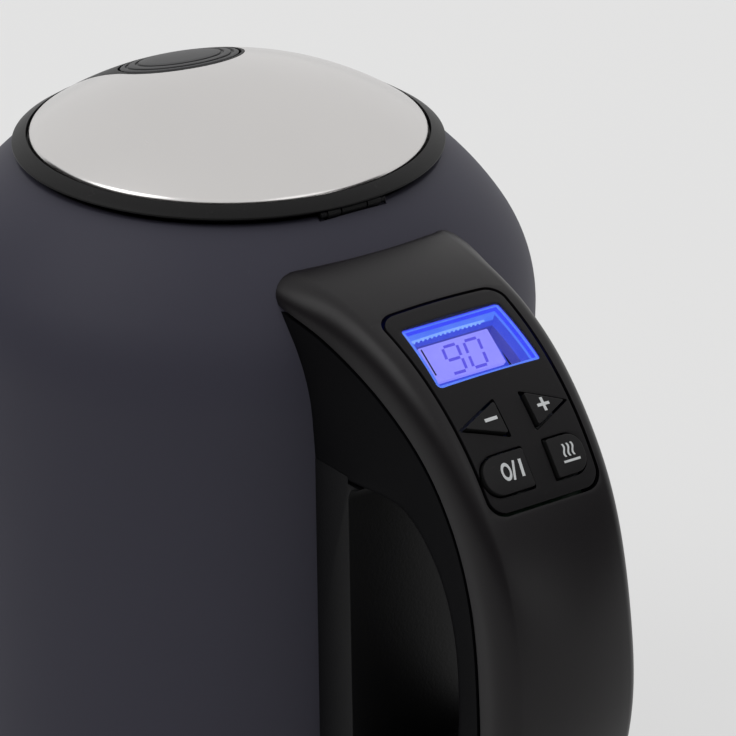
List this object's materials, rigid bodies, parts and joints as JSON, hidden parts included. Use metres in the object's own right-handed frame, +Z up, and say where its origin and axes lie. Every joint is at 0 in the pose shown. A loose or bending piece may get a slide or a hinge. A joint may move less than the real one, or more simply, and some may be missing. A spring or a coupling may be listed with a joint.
{
  "type": "gooseneck kettle",
  "caption": "Electric gooseneck kettle with a round-shouldered body, hinged domed lid, closed loop handle with display and buttons, and a round swivel power base.",
  "frame": {"origin": "on the table, under the middle of the kettle's axis", "axes": "+X from the kettle's axis to the handle, with the spout on -X; +Z up along the kettle's axis"},
  "size_m": [0.2817, 0.156, 0.2],
  "materials": {
    "housing_black": "satin moulded black",
    "cover_black": "matte moulded black",
    "socket_black": "semi-gloss moulded black",
    "contact_brass": "plain brass",
    "rubber_black": "matte rubber",
    "screw_steel": "zinc plated",
    "body_paint": "soft matte slate grey paint",
    "vessel_steel": "satin stainless steel",
    "plate_aluminium": "raw",
    "element_steel": "heat-tinted tube",
    "cutout_plastic": "heat-resistant cream plastic",
    "wire_red": "sleeved wires",
    "silicone_grey": "silicone rubber",
    "dome_steel": "satin stainless steel",
    "spout_steel": "satin stainless steel",
    "handle_black": "soft-touch black",
    "strip_black": "textured black",
    "panel_black": "soft-touch black",
    "key_black": "soft-touch black with white symbols",
    "badge_grey": "satin dark grey",
    "ring_black": "semi-gloss black",
    "window_clear": "clear blue-tinted window",
    "frame_blue": "translucent blue light frame",
    "display_blue": "lit display",
    "light_white": "diffusing white",
    "board_green": "lacquered board"
  },
  "bodies": {
    "power_base": {"base_top_housing": "housing_black", "base_bottom_cover": "cover_black", "base_socket": "socket_black", "base_contacts": "contact_brass", "base_feet": "rubber_black", "base_screws": "screw_steel", "cord_inlet": "rubber_black"},
    "connector": {"kettle_connector": "socket_black", "connector_contacts": "contact_brass"},
    "kettle": {"body_skin": "body_paint", "inner_vessel": "vessel_steel", "neck_collar": "ring_black", "neck_gasket": "silicone_grey", "hinge_pin": "screw_steel", "hinge_springs": "screw_steel", "heater_plate": "vessel_steel", "heat_spreader": "plate_aluminium", "heating_element": "element_steel", "dry_boil_cutout": "cutout_plastic", "temperature_probe": "vessel_steel", "kettle_foot": "cover_black", "wiring_loom": "wire_red", "spout_root_ring": "spout_steel", "spout_elbow": "spout_steel", "spout_riser": "spout_steel", "spout_tip": "spout_steel", "spout_lip": "spout_steel", "spout_strainer": "vessel_steel", "handle_outer_shell": "handle_black", "handle_inner_shell": "handle_black", "handle_strip": "strip_black", "strip_screws": "screw_steel", "shell_screws": "screw_steel", "control_panel": "panel_black", "display_window": "window_clear", "display_frame": "frame_blue", "display_glass": "display_blue", "backlight": "light_white", "control_board": "board_green", "key_membrane": "silicone_grey"},
    "lid": {"lid_dome": "dome_steel", "lid_ring": "ring_black", "lid_tongue": "ring_black", "lid_inner_cover": "cover_black", "lid_seal": "silicone_grey", "latch_plate": "cover_black", "lid_spring": "screw_steel"},
    "lid_button": {"lid_button": "badge_grey"},
    "lid_latch": {"lid_latch": "cover_black"},
    "button_minus": {"button_minus": "key_black"},
    "button_plus": {"button_plus": "key_black"},
    "button_power": {"button_power": "key_black"},
    "button_keep_warm": {"button_keep_warm": "key_black"}
  },
  "joints": [
    {"name": "kettle_lift", "type": "slide", "parent": "power_base", "child": "connector", "axis": [0, 0, 1], "range_m": [0, 0.12]},
    {"name": "kettle_swivel", "type": "hinge", "parent": "connector", "child": "kettle", "pos_m": [0, 0, 0.027], "axis": [0, 0, 1], "continuous": true},
    {"name": "lid_hinge", "type": "hinge", "parent": "kettle", "child": "lid", "pos_m": [0.051, 0, 0.1809], "axis": [0, 1, 0], "range_deg": [0, 70]},
    {"name": "lid_button_press", "type": "slide", "parent": "lid", "child": "lid_button", "axis": [0, 0, -1], "range_m": [0, 0.002], "stiffness_N_per_m": 600, "springref_m": -0.002, "deforming": ["lid_spring"]},
    {"name": "latch_slide", "type": "slide", "parent": "lid", "child": "lid_latch", "axis": [1, 0, 0], "range_m": [0, 0.0025]},
    {"name": "button_minus_press", "type": "slide", "parent": "kettle", "child": "button_minus", "axis": [-0.6923, 0, -0.7216], "range_m": [0, 0.0006], "stiffness_N_per_m": 1000, "springref_m": -0.0005},
    {"name": "button_plus_press", "type": "slide", "parent": "kettle", "child": "button_plus", "axis": [-0.6923, 0, -0.7216], "range_m": [0, 0.0006], "stiffness_N_per_m": 1000, "springref_m": -0.0005},
    {"name": "button_power_press", "type": "slide", "parent": "kettle", "child": "button_power", "axis": [-0.7973, 0, -0.6036], "range_m": [0, 0.0006], "stiffness_N_per_m": 1000, "springref_m": -0.0005},
    {"name": "button_keep_warm_press", "type": "slide", "parent": "kettle", "child": "button_keep_warm", "axis": [-0.7973, 0, -0.6036], "range_m": [0, 0.0006], "stiffness_N_per_m": 1000, "springref_m": -0.0005}
  ],
  "couplings": [
    {"joint": "latch_slide", "follows": "lid_button_press", "ratio": 1.25}
  ]
}
